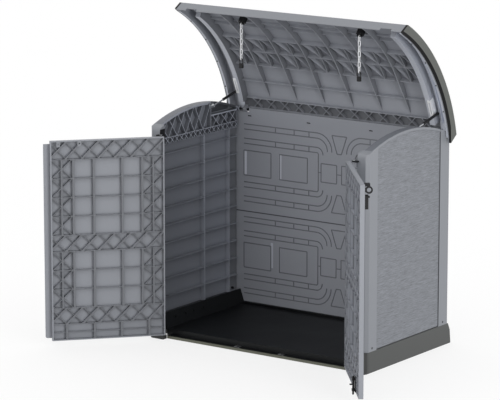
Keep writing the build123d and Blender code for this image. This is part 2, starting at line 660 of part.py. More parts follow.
# Doors: an outer skin, a frame, rows of ribs and braced bands
for side, hand in SIDES:
    width = DOOR_WIDTH[side]
    rows = [DOOR_BOTTOM + BOTTOM_STRIP]
    for step in [LATTICE_BAND] + LOWER_ROWS * [ROW_HEIGHT] + [LATTICE_BAND] + UPPER_ROWS * [ROW_HEIGHT]:
        rows.append(rows[-1] + step)
    bands = [(rows[0], rows[1]), (rows[LOWER_ROWS + 1], rows[LOWER_ROWS + 2])]
    bands.append((rows[-1], DOOR_TOP - DOOR_FRAME / 2))
    with BuildPart() as door:
        with BuildSketch(door_plane(side, 0)):
            block(0, width, DOOR_BOTTOM, DOOR_TOP)
        extrude(amount=side * DOOR_SKIN)
        with BuildSketch(door_plane(side, DOOR_SKIN / 2)):
            block(0, width, DOOR_BOTTOM, DOOR_TOP)
            low, high = DOOR_BOTTOM + DOOR_FRAME, DOOR_TOP - DOOR_FRAME
            block(DOOR_FRAME, width - DOOR_FRAME, low, high, mode=Mode.SUBTRACT)
            edge = DOOR_FRAME / 2
            lines = [((edge, z), (width - edge, z)) for z in [DOOR_BOTTOM + BOTTOM_STRIP / 2] + rows]
            strips(lines, DOOR_RIB)
            start = DOOR_BOTTOM + edge
            columns = [((share * width, start), (share * width, rows[0])) for share in STRIP_RIBS]
            for low, high in zip(bands, bands[1:]):
                columns += [((share * width, low[1]), (share * width, high[0])) for share in COLUMN_RIBS]
            strips(columns, COLUMN_RIB)
            uprights, thin, wide = [], [], []
            for low, high in bands:
                wide += crossing(edge, width - edge, low, high, LATTICE_BAND, -1)
                thin += crossing(edge, width - edge, low, high, LATTICE_BAND, 1)
            brace = BRACE_COLUMN * width
            for first, last in ((1, LOWER_ROWS + 1), (LOWER_ROWS + 2, len(rows) - 1)):
                for near, far in ((edge, brace), (width - brace, width - edge)):
                    uprights.append((((near + far) / 2, rows[first]), ((near + far) / 2, rows[last])))
                    for low, high in zip(rows[first:last], rows[first + 1:last + 1]):
                        thin += [((near, low), (far, high)), ((near, high), (far, low))]
            strips(uprights, BRACE_RIB)
            strips(wide, WIDE_BRACE)
            strips(thin, THIN_BRACE)
        extrude(amount=side * (DOOR_THICK - DOOR_SKIN / 2))
        for low in (KNUCKLE_BOTTOM, KNUCKLE_TOP - KNUCKLE_HEIGHT):
            with BuildSketch(door_plan(side, low)):
                Circle(KNUCKLE_RADIUS)
                block(-KNUCKLE_RADIUS, KNUCKLE_RADIUS, 0, PIVOT_REACH + DOOR_SKIN / 2)
            extrude(amount=KNUCKLE_HEIGHT)
        with BuildSketch(door_plan(side, 0)):
            Circle(PIN_RADIUS + RUN_FIT)
        extrude(amount=DOOR_TOP, mode=Mode.SUBTRACT)
        if side < 0:
            low, high = DOOR_BOTTOM + STRIP_TRIM[0], DOOR_TOP - STRIP_TRIM[1]
            front = -STRIP_GAP - STRIP_THICK
            with BuildSketch(door_plane(side, front)):
                block(width - STRIP_HOLD, width, low, high)
            extrude(amount=side * (STRIP_GAP + STRIP_THICK + DOOR_SKIN / 2))
            with BuildSketch(door_plane(side, front)) as strip:
                block(width - STRIP_HOLD, width + STRIP_REACH, low, high)
                fillet(strip.vertices().group_by(Axis.Y)[0].sort_by(Axis.X)[-1], radius=STRIP_ROUND)
            extrude(amount=side * STRIP_THICK)
    finish(door, f"{hand}_door")

# Door pivots: a black bracket at each post's head, with pins above and below
for side, hand in SIDES:
    with BuildPart() as hinge_bracket:
        floor_z = KNUCKLE_TOP + RUN_FIT + LINK_GAP
        with BuildSketch(Plane.XY.offset(floor_z)):
            with Locations((side * PIVOT_X, PIVOT_Y)):
                Circle(KNUCKLE_RADIUS)
            block(side * PIVOT_X, side * (OPENING_HALF + BRACKET_REACH), PIVOT_Y - KNUCKLE_RADIUS, POST_FACE)
            with Locations((side * PIVOT_X, PIVOT_Y)):
                Circle(PIN_RADIUS + RUN_FIT, mode=Mode.SUBTRACT)
        extrude(amount=BRACKET_THICK)
        with BuildSketch(Plane.YZ.offset(side * OPENING_HALF)):
            block(POST_FACE, OPENING_RETURN, BRACKET_TOP - BRACKET_PLATE[1], BRACKET_TOP)
        extrude(amount=-side * BRACKET_PLATE[0])
    finish(hinge_bracket, f"hinge_bracket_{hand}")
    with BuildPart() as door_pins:
        head = floor_z + BRACKET_THICK
        for low, high in ((0, KNUCKLE_BOTTOM + KNUCKLE_HEIGHT), (KNUCKLE_TOP - KNUCKLE_HEIGHT, head)):
            with BuildSketch(Plane.XY.offset(low + BASE_SKIN / 2)):
                with Locations((side * PIVOT_X, PIVOT_Y)):
                    Circle(PIN_RADIUS)
            extrude(amount=high - low - BASE_SKIN / 2)
        with BuildSketch(Plane.XY.offset(head)):
            with Locations((side * PIVOT_X, PIVOT_Y)):
                Circle(PIN_RADIUS + SCREW_HEAD)
        extrude(amount=SCREW_HEAD)
    finish(door_pins, f"door_pins_{hand}")

# Latches of the doors
with BuildPart() as strike_plates:
    with BuildSketch(door_plane(-1, DOOR_THICK)):
        places = [(LEFT_WIDTH - x, DOOR_TOP - STRIKE_SIZE[1] / 2) for x in STRIKE_PLACES]
        with Locations(*places):
            Rectangle(STRIKE_SIZE[0], STRIKE_SIZE[1])
            Circle(STRIKE_HOLE, mode=Mode.SUBTRACT)
    extrude(amount=-STRIKE_SIZE[2])
finish(strike_plates, "strike_plates")

HANDLE_ACROSS = RIGHT_WIDTH - HANDLE_FROM_EDGE
with BuildPart() as handle_plate:
    with BuildSketch(door_plane(1, 0)):
        with Locations((HANDLE_ACROSS, HANDLE_TOP - HANDLE_PLATE[1] / 2)):
            RectangleRounded(HANDLE_PLATE[0], HANDLE_PLATE[1], LEVER_BOSS / 2)
    extrude(amount=-HANDLE_PLATE[2])
    with BuildSketch(door_plane(1, -HANDLE_PLATE[2] / 2)):
        with Locations((HANDLE_ACROSS, HANDLE_TOP - LOCK_BLOCK[1] / 2)):
            RectangleRounded(LOCK_BLOCK[0], LOCK_BLOCK[1], LEVER_BOSS / 2)
    extrude(amount=-LOCK_BLOCK[2] + HANDLE_PLATE[2] / 2)
    with BuildSketch(door_plane(1, -HANDLE_PLATE[2] / 2)):
        with Locations((HANDLE_ACROSS, LEVER_PIVOT)):
            Circle(PIN_RADIUS)
    extrude(amount=-LOCK_BLOCK[2] + HANDLE_PLATE[2] / 2)
finish(handle_plate, "handle_plate")

with BuildPart() as hasp_ring:
    stand = door_plane(1, -HANDLE_PLATE[2])
    ring_plane = Plane(
        origin=stand.from_local_coords((HANDLE_ACROSS - RING_THICK / 2, RING_HEIGHT, -RING_STAND)),
        x_dir=stand.z_dir, z_dir=stand.x_dir,
    )
    with BuildSketch(ring_plane):
        Circle(RING_OUTER)
        block(0, RING_STAND, -RING_INNER, RING_INNER)
        Circle(RING_INNER, mode=Mode.SUBTRACT)
    extrude(amount=RING_THICK)
finish(hasp_ring, "hasp_ring")

with BuildPart() as handle_lever:
    with BuildSketch(door_plane(1, -HANDLE_PLATE[2] - LEVER_GAP)):
        with Locations((HANDLE_ACROSS, LEVER_PIVOT)):
            Circle(LEVER_BOSS)
        block(
            HANDLE_ACROSS - LEVER_SIZE[0] / 2, HANDLE_ACROSS + LEVER_SIZE[0] / 2,
            LEVER_PIVOT - LEVER_SIZE[1], LEVER_PIVOT,
        )
        with Locations((HANDLE_ACROSS, LEVER_PIVOT)):
            Circle(PIN_RADIUS + RUN_FIT, mode=Mode.SUBTRACT)
    extrude(amount=-LEVER_SIZE[2])
    ends = handle_lever.edges().filter_by(GeomType.LINE).group_by(Axis.Z)[0].sort_by(Edge.length)
    fillet(ends[-2:], radius=LEVER_SIZE[2] / 4)
finish(handle_lever, "handle_lever")

BOLT_ACROSS = RIGHT_WIDTH - BOLT_FROM_EDGE
with BuildPart() as bolt_housing:
    plate_low = BOLT_GUIDES[0] - BOLT_GUIDE[1]
    with BuildSketch(door_plane(1, DOOR_THICK)):
        with Locations((BOLT_ACROSS, plate_low + BOLT_PLATE[1] / 2)):
            Rectangle(BOLT_PLATE[0], BOLT_PLATE[1])
    extrude(amount=BOLT_PLATE[2])
    with BuildSketch(door_plane(1, DOOR_THICK)):
        with Locations(*[(BOLT_ACROSS, z) for z in BOLT_GUIDES]):
            Rectangle(BOLT_GUIDE[0], BOLT_GUIDE[1])
    extrude(amount=BOLT_PLATE[2] + 2 * BOLT_STAND)
    with BuildSketch(Plane.XY):
        with Locations(door_turned(1, BOLT_X, BOLT_Y)):
            Circle(BOLT_RADIUS + RUN_FIT)
    extrude(amount=BOLT_HIGH, mode=Mode.SUBTRACT)
finish(bolt_housing, "bolt_housing")

with BuildPart() as slide_bolt:
    with BuildSketch(Plane.XY.offset(BOLT_LOW)):
        with Locations(door_turned(1, BOLT_X, BOLT_Y)):
            Circle(BOLT_RADIUS)
    extrude(amount=BOLT_HIGH - BOLT_LOW)
    with BuildSketch(door_plane(1, DOOR_THICK + BOLT_PLATE[2] + BOLT_STAND)):
        with Locations((BOLT_ACROSS, sum(BOLT_GUIDES) / 2)):
            Circle(BOLT_KNOB[0])
    extrude(amount=BOLT_KNOB[1])
finish(slide_bolt, "slide_bolt")

# Lid: a curved skin with lips, side flanges, rails, ribs, lattice bands and two hinge lugs
bays = sorted([-RAIL_INNER, RAIL_INNER] + [side * x for side in (-1, 1) for x in RIB_XS])
bay_middles = [(start + end) / 2 for start, end in zip(bays, bays[1:])]
with BuildPart() as lid_shell:
    with BuildSketch(lid_side(-FLANGE_OUT)):
        lid_band(LID_FRONT, LID_BACK, 0, LID_SKIN)
        lip_top = lid_point(LID_FRONT, 0)
        lip_low, lip_inner = LIP_BOTTOM[1], LIP_BOTTOM[0] + LID_SKIN
        outline((lip_top, LIP_BOTTOM, (lip_inner, lip_low), (lip_top[0] + LID_SKIN, lip_top[1])))
        rear_top = lid_point(LID_BACK, 0)
        rear = LID_BACK + LID_SKIN
        outline((
            lid_point(LID_BACK - LID_SKIN, LID_SKIN / 2), rear_top, (rear, rear_top[1] - LID_SKIN),
            (rear, REAR_LIP), (LID_BACK, REAR_LIP),
        ))
    extrude(amount=2 * FLANGE_OUT)
    with BuildSketch(*lid_sides(FLANGE_OUT - FLANGE_WIDTH, FLANGE_OUT)):
        lid_band(LID_FRONT, LID_BACK, LID_SKIN / 2, FLANGE_DEPTH)
        outline((lid_point(LID_FRONT, LID_SKIN / 2), LIP_BOTTOM, lid_point(LID_FRONT, FLANGE_DEPTH)))
    extrude(amount=FLANGE_WIDTH)
    with BuildSketch(*lid_sides(RAIL_INNER, RAIL_OUTER)):
        lid_band(RAIL_SPAN[0], RAIL_SPAN[1], LID_SKIN / 2, FLANGE_DEPTH)
    extrude(amount=RAIL_OUTER - RAIL_INNER)
    with BuildSketch(*lid_sides(RAIL_INNER + LID_SKIN, RAIL_OUTER - LID_SKIN)):
        ends = [place + LID_SKIN for place in RAIL_SPAN]
        lid_band(*ends, LID_SKIN + RIB_ROOT, FLANGE_DEPTH - LID_SKIN)
    extrude(amount=RAIL_OUTER - RAIL_INNER - 2 * LID_SKIN, mode=Mode.SUBTRACT)
    with BuildSketch(*lid_sides(THIN_RIB[0], THIN_RIB[1])):
        lid_band(RAIL_SPAN[0], RAIL_SPAN[1], LID_SKIN / 2, THIN_RIB[2])
    extrude(amount=THIN_RIB[1] - THIN_RIB[0])
    with BuildSketch(*[lid_side(x - RIB_THICK / 2) for x in bays[1:-1]]):
        knee, tip = RIB_TAPER
        lid_band(LID_FRONT + LID_SKIN, knee, LID_SKIN / 2, RIB_DEPTH)
        taper = [lid_point(place, LID_SKIN / 2) for place in (knee, (knee + tip) / 2, tip)]
        with BuildLine():
            ThreePointArc(*taper)
            Polyline(taper[-1], lid_point(knee, RIB_DEPTH), taper[0])
        make_face()
    extrude(amount=RIB_THICK)
    with BuildSketch(lid_side(-RAIL_INNER)):
        for place, depth in CROSS_RIBS:
            lid_band(place - CROSS_RIB / 2, place + CROSS_RIB / 2, LID_SKIN / 2, depth)
    extrude(amount=2 * RAIL_INNER)
    with BuildSketch(*[lid_side(x - BRACE_THICK / 2) for x in bay_middles]):
        lid_band(BRACE_BAND[0], BRACE_BAND[-1], LID_SKIN / 2, BRACE_DEPTH)
    extrude(amount=BRACE_THICK)
    for near, far in zip(BRACE_BAND, BRACE_BAND[1:]):
        with BuildSketch(lid_under(0, (near + far) / 2, LID_SKIN - RIB_ROOT / 4)):
            half = (far - near) / 2
            corners = sorted(bays + bay_middles)
            strips([((start, half), (end, -half)) for start, end in zip(corners, corners[1:])], BRACE_THICK)
        extrude(amount=BRACE_DEPTH - LID_SKIN)
    with BuildSketch(lid_under(0, sum(REAR_BAND) / 2, LID_SKIN - RIB_ROOT / 4)):
        half = (REAR_BAND[1] - REAR_BAND[0]) / 2
        span = HINGE_NOTCH[0]
        for lean in (-1, 1):
            strips(crossing(-span, span, -half, half, REAR_BAND_PITCH, lean), REAR_BRACE)
    extrude(amount=REAR_BAND_DEPTH - LID_SKIN)
    with BuildSketch(*lid_sides(*LUG_SPAN)):
        with Locations((HINGE_Y, HINGE_Z)):
            Circle(LUG_RADIUS)
        block(HINGE_Y - LUG_RADIUS, HINGE_Y + LUG_RADIUS / 2, HINGE_Z, lid_point(HINGE_Y, LID_SKIN / 2)[1])
        with Locations((HINGE_Y, HINGE_Z)):
            Circle(PIN_RADIUS + RUN_FIT, mode=Mode.SUBTRACT)
    extrude(amount=LUG_SPAN[1] - LUG_SPAN[0])
    with BuildSketch(*lid_sides(LIP_NOTCH[0], LIP_NOTCH[1])):
        block(LIP_BOTTOM[0] - LID_SKIN, LID_FRONT + 2 * LID_SKIN, LIP_BOTTOM[1] - LID_SKIN, LIP_NOTCH[2])
    extrude(amount=LIP_NOTCH[1] - LIP_NOTCH[0], mode=Mode.SUBTRACT)
finish(lid_shell, "lid_shell")

for side, hand in SIDES:
    with BuildPart() as lid_trim:
        with BuildSketch(lid_side(side * FLANGE_OUT)):
            lid_band(LID_FRONT, LID_BACK, 0, TRIM_DEPTH)
            outline((lid_point(LID_FRONT, 0), LIP_BOTTOM, lid_point(LID_FRONT, TRIM_DEPTH)))
            outline((lid_point(LID_BACK, 0), TRIM_TIP, lid_point(LID_BACK, TRIM_DEPTH)))
        extrude(amount=side * TRIM_WIDTH)
        outer = lid_trim.faces().sort_by(Axis.X)[-1 if side > 0 else 0]
        under = outer.edges().filter_by(GeomType.CIRCLE).sort_by(Edge.length)[0]
        chamfer(under, length=TRIM_BEVEL)
    finish(lid_trim, f"lid_trim_{hand}")
    with BuildPart() as lid_pin:
        with BuildSketch(Plane.YZ.offset(side * LID_PIN[0])):
            with Locations((HINGE_Y, HINGE_Z)):
                Circle(PIN_RADIUS)
        extrude(amount=side * (LID_PIN[1] - LID_PIN[0]))
        with BuildSketch(Plane.YZ.offset(side * LID_PIN[0])):
            with Locations((HINGE_Y, HINGE_Z)):
                Circle(PIN_RADIUS + SCREW_HEAD)
        extrude(amount=side * SCREW_HEAD)
    finish(lid_pin, f"lid_pin_{hand}")

with BuildPart() as trim_screws:
    for side, hand in SIDES:
        for place in TRIM_SCREWS:
            flange = side * (FLANGE_OUT - FLANGE_WIDTH / 2)
            with BuildSketch(lid_under(flange, place, seat(FLANGE_DEPTH, TRIM_SCREW[0]))):
                Circle(TRIM_SCREW[0])
            extrude(amount=TRIM_SCREW[1])
finish(trim_screws, "trim_screws")

# Gas struts: the rod turns on the wall, the cylinder slides along it
strut_end = lid_turned(*STRUT_LID)
strut_run = (strut_end[0] - STRUT_WALL[0], strut_end[1] - STRUT_WALL[1])
strut_length = hypot(*strut_run)
strut_axis = (0, strut_run[0] / strut_length, strut_run[1] / strut_length)


def strut_section(side, along):
    """Plane square to a strut, at a distance from its wall pin."""
    place = [STRUT_WALL[i] + along * strut_axis[i + 1] for i in range(2)]
    return Plane(origin=(side * STRUT_X, *place), x_dir=(1, 0, 0), z_dir=strut_axis)


for side, hand in SIDES:
    eye_start = side * (STRUT_X - STRUT_EYE[1] / 2)
    with BuildPart() as strut_mount:
        with BuildSketch(Plane.YZ.offset(side * WALL_IN)):
            with Locations(STRUT_WALL):
                RectangleRounded(STRUT_PLATE[0], STRUT_PLATE[1], STRUT_PLATE[2])
        extrude(amount=-side * STRUT_PLATE[2])
        with BuildSketch(Plane.YZ.offset(side * STRUT_PIN_END)):
            with Locations(STRUT_WALL):
                Circle(ROD_RADIUS)
        extrude(amount=side * (WALL_IN - STRUT_PIN_END))
    finish(strut_mount, f"strut_mount_{hand}")
    with BuildPart() as strut_rod:
        with BuildSketch(strut_section(side, 0)):
            Circle(ROD_RADIUS)
        extrude(amount=ROD_LENGTH)
        with BuildSketch(Plane.YZ.offset(eye_start)):
            with Locations(STRUT_WALL):
                Circle(STRUT_EYE[0])
        extrude(amount=side * STRUT_EYE[1])
        with BuildSketch(Plane.YZ.offset(eye_start)):
            with Locations(STRUT_WALL):
                Circle(ROD_RADIUS + RUN_FIT)
        extrude(amount=side * STRUT_EYE[1], mode=Mode.SUBTRACT)
    finish(strut_rod, f"strut_rod_{hand}")
    with BuildPart() as strut_cylinder:
        with BuildSketch(strut_section(side, strut_length - CYLINDER_LENGTH)):
            Circle(CYLINDER_RADIUS)
        extrude(amount=CYLINDER_LENGTH - STRUT_EYE[0] / 2)
        with BuildSketch(Plane.YZ.offset(eye_start)):
            with Locations(strut_end):
                Circle(STRUT_EYE[0])
        extrude(amount=side * STRUT_EYE[1])
        with BuildSketch(strut_section(side, strut_length - CYLINDER_LENGTH)):
            Circle(ROD_RADIUS + RUN_FIT)
        extrude(amount=CYLINDER_LENGTH - 2 * STRUT_EYE[0], mode=Mode.SUBTRACT)
    finish(strut_cylinder, f"strut_cylinder_{hand}")
    with BuildPart() as strut_bracket:
        start, end, top, thick = LID_PLATE
        low = FLANGE_DEPTH + LINK_GAP
        with BuildSketch(lid_side(side * RAIL_OUTER)):
            lid_band(start, end, top, low + thick)
        extrude(amount=side * thick)
        with BuildSketch(lid_side(side * (RAIL_OUTER + thick - LID_PLATE_WIDTH))):
            lid_band(start, end, low, low + thick)
        extrude(amount=side * LID_PLATE_WIDTH)
        edge, margin = LID_PLATE_SLOT
        with BuildSketch(lid_side(side * (RAIL_OUTER + thick - LID_PLATE_WIDTH + edge))):
            lid_band(start + margin, end - margin, low - thick, low + 2 * thick)
        extrude(amount=side * (LID_PLATE_WIDTH - 2 * edge), mode=Mode.SUBTRACT)
        with BuildSketch(lid_side(side * RAIL_OUTER)):
            with Locations(STRUT_LID):
                Circle(LID_STUD[0])
        extrude(amount=side * (thick + LID_STUD[1]))
    finish(strut_bracket, f"strut_bracket_{hand}")

# Chains: a mount under the lid, interlocked links and a clip, hanging straight down
mount_seat = seat(LID_SKIN, MOUNT_RADIUS)
eye_depth = mount_seat + MOUNT_HEIGHT + EAR_REACH
eye_place = lid_turned(*lid_point(CHAIN_Y, eye_depth))


def wire_loop(plane, length, width, wire):
    """One closed wire loop with straight sides and round ends; length and width are inside sizes."""
    bend = (width + wire * 2) / 2
    half = (length + wire * 2) / 2 - bend
    with BuildLine(plane) as loop:
        Line((bend, -half), (bend, half))
        ThreePointArc((bend, half), (0, half + bend), (-bend, half))
        Line((-bend, half), (-bend, -half))
        ThreePointArc((-bend, -half), (0, -half - bend), (bend, -half))
    start = plane.from_local_coords((bend, 0, 0))
    with BuildSketch(Plane(origin=start, x_dir=plane.x_dir, z_dir=plane.y_dir)) as section:
        Circle(wire)
    sweep(section.sketch, path=loop.wires()[0])


for side, hand in SIDES:
    with BuildPart() as chain_mount:
        with BuildSketch(lid_under(side * CHAIN_X, CHAIN_Y, mount_seat)):
            RegularPolygon(MOUNT_RADIUS, MOUNT_SIDES, rotation=180 / MOUNT_SIDES)
        extrude(amount=MOUNT_HEIGHT)
        for ear in (-1, 1):
            with BuildSketch(lid_under(side * CHAIN_X, CHAIN_Y, mount_seat)):
                with Locations((ear * EAR[0], 0)):
                    Rectangle(EAR[1], 2 * EAR[2])
            extrude(amount=MOUNT_HEIGHT + EAR_REACH + CHAIN_PIN)
        with BuildSketch(Plane.YZ.offset(side * CHAIN_X - EAR[0])):
            with Locations(eye_place):
                Circle(CHAIN_PIN)
        extrude(amount=2 * EAR[0])
    finish(chain_mount, f"chain_mount_{hand}")
    link_z = eye_place[1] - LINK_LENGTH / 2 + CHAIN_PIN + LINK_GAP
    with BuildPart() as chain:
        for link in range(LINK_COUNT):
            facing = (1, 0, 0) if link % 2 == 0 else (0, 1, 0)
            middle = link_z - link * (LINK_LENGTH - LINK_GAP)
            across = Vector(0, 0, 1).cross(Vector(facing))
            upright = Plane(origin=(side * CHAIN_X, eye_place[0], middle), x_dir=across, z_dir=facing)
            wire_loop(upright, LINK_LENGTH, LINK_WIDTH, WIRE)
    finish(chain, f"chain_{hand}")
    last_link = link_z - (LINK_COUNT - 1) * (LINK_LENGTH - LINK_GAP)
    clip_z = last_link - LINK_LENGTH / 2 - CLIP_LENGTH / 2 + LINK_GAP
    with BuildPart() as chain_clip:
        flat = Plane(origin=(side * CHAIN_X, eye_place[0], clip_z), x_dir=(1, 0, 0), z_dir=(0, -1, 0))
        wire_loop(flat, CLIP_LENGTH, CLIP_WIDTH, CLIP_WIRE)
        with BuildSketch(flat.offset(-CLIP_BODY[2] / 2)):
            with Locations((0, -CLIP_LENGTH / 2)):
                RectangleRounded(CLIP_BODY[0], CLIP_BODY[1], CLIP_WIRE)
        extrude(amount=CLIP_BODY[2])
    finish(chain_clip, f"chain_clip_{hand}")
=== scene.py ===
"""Garden storage box: finishes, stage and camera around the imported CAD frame."""
import math
from collections import namedtuple

import bpy
from mathutils import Matrix, Vector

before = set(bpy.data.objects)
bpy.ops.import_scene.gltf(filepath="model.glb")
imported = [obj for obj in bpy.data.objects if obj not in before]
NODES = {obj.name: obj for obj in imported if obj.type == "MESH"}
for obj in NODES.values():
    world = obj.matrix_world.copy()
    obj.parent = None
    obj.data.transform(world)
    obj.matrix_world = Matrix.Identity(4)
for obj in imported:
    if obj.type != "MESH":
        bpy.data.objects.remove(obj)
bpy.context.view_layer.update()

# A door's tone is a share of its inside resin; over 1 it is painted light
Door = namedtuple("Door", "hand pivot turn width tone")
# A painted highlight in the shape of an upright ridge: across, low and high places, and its share of the back
# resin
RidgeHighlight = namedtuple("RidgeHighlight", "across low high tone")

# Half widths of the steps between two tones, in metres, and in square metres on the lid's arc
FINE = 0.0003
SHARP = 0.0005
CLEAR = 0.001
SOFT = 0.002
ARC_STEP = 0.001
FLANGE_STEP = 0.0005

# Where a face counts as looking sideways, 1 being straight: the middle and half width of the step
SIDEWAYS = (0.85, 0.05)

# Walls: places in metres from the middle of the base, then tones as shares of the resin
WALL_PANEL = (0.6875, 0.6905)
PANEL_SPAN = (-0.3105, 0.2905)
POST_GROOVE = (0.289, 0.2925)
WALL_FOOT = 0.1165
WALL_LINING = 0.687
LINING_SPAN = (-0.36, 0.372)
LINING_SHADE_RUN = (0.0, 0.36)
RIB_FACE = 0.680
UPRIGHT = (0.036, 0.050)
LATTICE_FOOT = 1.045
LATTICE_STEP = 0.004
POCKET_SPAN = (0.110, 0.342)
POCKET_FLOOR = 1.147
# Painted shade towards the front of the lining and on the lattice's sides, painted highlights on the rib
# tops, painted shadow along the foot and painted shade in the strut's pocket; the groove beside the rear post
# is dark
LINING_FRONT_SHADE = 0.5
RIB_TOP_HIGHLIGHT = 1.6
LATTICE_HIGHLIGHT_COVER = 0.5
UPRIGHT_HIGHLIGHT_COVER = 0.35
LATTICE_SIDE_SHADE = 0.48
FOOT_SHADOW_COVER = 0.85
POCKET_SHADE_COVER = 0.8
GROOVE_COVER = 0.6

# Doors: pivots and widths, then depths behind the pivot line of a closed door
# The last number is a share of the inside resin; on the right door it is over 1, painted light
DOORS = (Door("left", -0.612, -132.3, 0.610, 1.0), Door("right", 0.612, 130.1, 0.628, 1.3))
PIVOT_LINE = -0.412
HINGE_EDGE = -0.004
FREE_EDGE = 0.017
STRIP_EDGE = 0.010
DOOR_SPAN = (0.0335, 1.1045)
DOOR_SKIN = (0.0185, 0.0225)
STRIP_FACE = 0.0135
DOOR_RIB_ROOT = 0.027
DOOR_RIB_TOP = 0.0402
DOOR_RIB_STEP = 0.0004
# Painted shade on the rib roots; the rib tops are darker
DOOR_ROOT_SHADE = 0.5
DOOR_TOP_TONE = 0.56

# Back panels: the embossed face with painted shade in its grooves, painted highlights in the shape of pale
# upright ridges on its flat face, the vents and the seam
BACK_FACE = 0.3755
BACK_OUTSIDE = 0.3805
BACK_SEAM = (0.563, 0.569)
VENT_FOOT = 1.080
RIDGE_HIGHLIGHTS = (
    RidgeHighlight(-0.621, 0.774, 0.904, 1.85),
    RidgeHighlight(-0.3885, 0.773, 0.907, 1.7),
    RidgeHighlight(-0.4435, 0.265, 0.406, 1.55),
)
HIGHLIGHT_HALF = 0.008
GROOVE_SHADE = 0.55
SEAM_COVER = 0.8

# Lid: its open angle and arc, with radii and places across it, then tones: painted shade on the braced band,
# the rib sides, the rear lattice, the rails' sides and the trims' edges, painted light on the rails' faces
# and the flanges, and painted light and shade in the end valleys
LID_CENTRE = (-0.5221, 0.9418)
LID_TURN = 52.5
LID_OUTSIDE = 0.9385
LID_INSIDE = 0.9345
LID_LIP = 0.3935
RIB_END = 0.600
RAIL_FACE = (0.6025, 0.6335)
RAIL_SIDE = (0.602, 0.604)
LID_RAIL = 0.634
LID_FLANGE = 0.694
FLANGE_FACE = 0.8865
VALLEY_LIGHT_RUN = (0.664, 0.03)
LEFT_TO_RIGHT = (0.0, 0.1)
BRACED_BAND = (-0.104, 0.112)
REAR_BAND = (-0.385, -0.328)
BRACED_SHADE_COVER = 0.3
BRACED_SHADE = 0.3
LID_RIB_SHADE = 0.5
REAR_RIB_SHADE = 0.7
REAR_SKIN_SHADE = 0.42
VALLEY_INNER_LIGHT = 2.2
VALLEY_OUTER_SHADE = 0.75
VALLEY_RIGHT_LIGHT = 2.3
RAIL_LIGHT = 1.4
RAIL_SIDE_SHADE = 0.5
FLANGE_LIGHT = 1.5
TRIM_SIDE = 0.7245
TRIM_FOOT = 0.7125
TRIM_STEP = 0.0002
TRIM_EDGE_SHADE = 0.5

# Base: painted shade on the front of the corner blocks
CORNER_SHADE_RUN = (-0.388, 0.02)
CORNER_SHADE = 0.4

# Patterns: noise scales, the grain's along x, y and z
CLOUDS = 3.5
PANEL_CLOUDS = 3.0
SPECKS = 420.0
GRAIN_COARSE = (10.0, 10.0, 240.0)
GRAIN_FINE = (34.0, 34.0, 520.0)
METAL_BLOOM = 60.0
METAL_SCRATCHES = 900.0

# Patterns: how far they change the tone, the roughness and the relief
SPECK_SHARE = 0.6
MOULD_ROUGHNESS = 0.12
COARSE_WEIGHT = 0.5
FINE_WEIGHT = 0.7
PANEL_CLOUD_TONE = 0.06
PANEL_SPECK_TONE = 0.03
PANEL_ROUGHNESS = 0.46
GRAIN_ROUGHNESS = 0.18
CLOUD_ROUGHNESS = 0.1
GRAIN_RELIEF = 4.0
BLOOM_TONE = 0.25
SCRATCH_TONE = 0.1
BLOOM_ROUGHNESS = 0.2
SCRATCH_ROUGHNESS = 0.1

# Stage
WHITE = (1.0, 1.0, 1.0)
GROUND_BOUNCE = (0.5, 0.5, 0.5)
GROUND_SIZE = 60
LAMP_AIM = Vector((0, 0, 1.0))
SENSOR_WIDTH = 36
VIEW_DEPTH = 200

# Blender's Mix node has a set of sockets for each kind of data, and these are the ones for colours
MIX_FIRST = 6
MIX_SECOND = 7
MIX_RESULT = 2

bl_info = {
    "name": "Garden storage box",
    "version": (1, 0, 0),
    "blender": (4, 5, 0),
    "location": "View3D > Sidebar > Storage box",
    "description": "Finishes, stage and camera for a resin garden storage box",
    "category": "Object",
}


def linear(red, green, blue):
    """A colour as a paint chart gives it, 0 to 255, in Blender's linear numbers."""
    parts = [c / 255 for c in (red, green, blue)]
    return tuple(c / 12.92 if c <= 0.04045 else ((c + 0.055) / 1.055) ** 2.4 for c in parts)


def colour_prop(name, description, chart):
    """One colour that a user may change."""
    return bpy.props.FloatVectorProperty(
        name=name, description=description, subtype="COLOR", size=3, min=0, max=1, default=linear(*chart)
    )


class BoxFinishes(bpy.types.PropertyGroup):
    """Colours and surface depths of the storage box."""

    shell: colour_prop("Resin", "Smooth resin of the posts, lid's lip and outer back", (134, 137, 143))
    panel: colour_prop("Grained panel", "Wood-grained faces of the walls, doors and lid", (125, 128, 134))
    inside: colour_prop("Inside resin", "Ribbed inside of the doors", (146, 149, 156))
    lid: colour_prop("Lid resin", "Ribbed inside of the lid", (161, 164, 172))
    back: colour_prop("Back resin", "Embossed face of the back panels", (158, 161, 169))
    lining: colour_prop("Wall lining", "Ribbed inside of the side walls", (152, 156, 166))
    skirt: colour_prop("Skirt", "Base rails under the walls", (68, 70, 69))
    trim: colour_prop("Lid trim", "Side faces of the lid's end trims", (97, 99, 96))
    # The tray's near-black is partly its dark resin and partly painted shade
    floor: colour_prop("Floor tray", "Black tray of the floor", (18, 20, 22))
    sill: colour_prop("Sill", "Strip along the front of the floor", (104, 105, 92))
    hardware: colour_prop("Black hardware", "Handle, bolt, brackets, clips, struts and screws", (24, 24, 26))
    zinc: colour_prop("Zinc", "Door pins, strut mounts and keepers", (205, 207, 210))
    bright: colour_prop("Bright plate", "Chains and the struts' lid plates", (240, 241, 243))
    rod: colour_prop("Strut rods", "Polished rods of the gas struts", (215, 217, 220))
    grain_tone: bpy.props.FloatProperty(
        name="Grain contrast", description="How far the wood grain lightens and darkens the resin",
        default=1.9, min=0,
    )
    # Painted shade in the corners between ribs: how strong it is
    crevice_shade: bpy.props.FloatProperty(
        name="Crevice tone", description="How far the corners between ribs are darkened",
        default=0.28, min=0, max=1,
    )
    mould_depth: bpy.props.FloatProperty(
        name="Mould texture", description="Relief of the fine mould texture",
        default=0.00015, min=0, max=0.002, unit="LENGTH",
    )


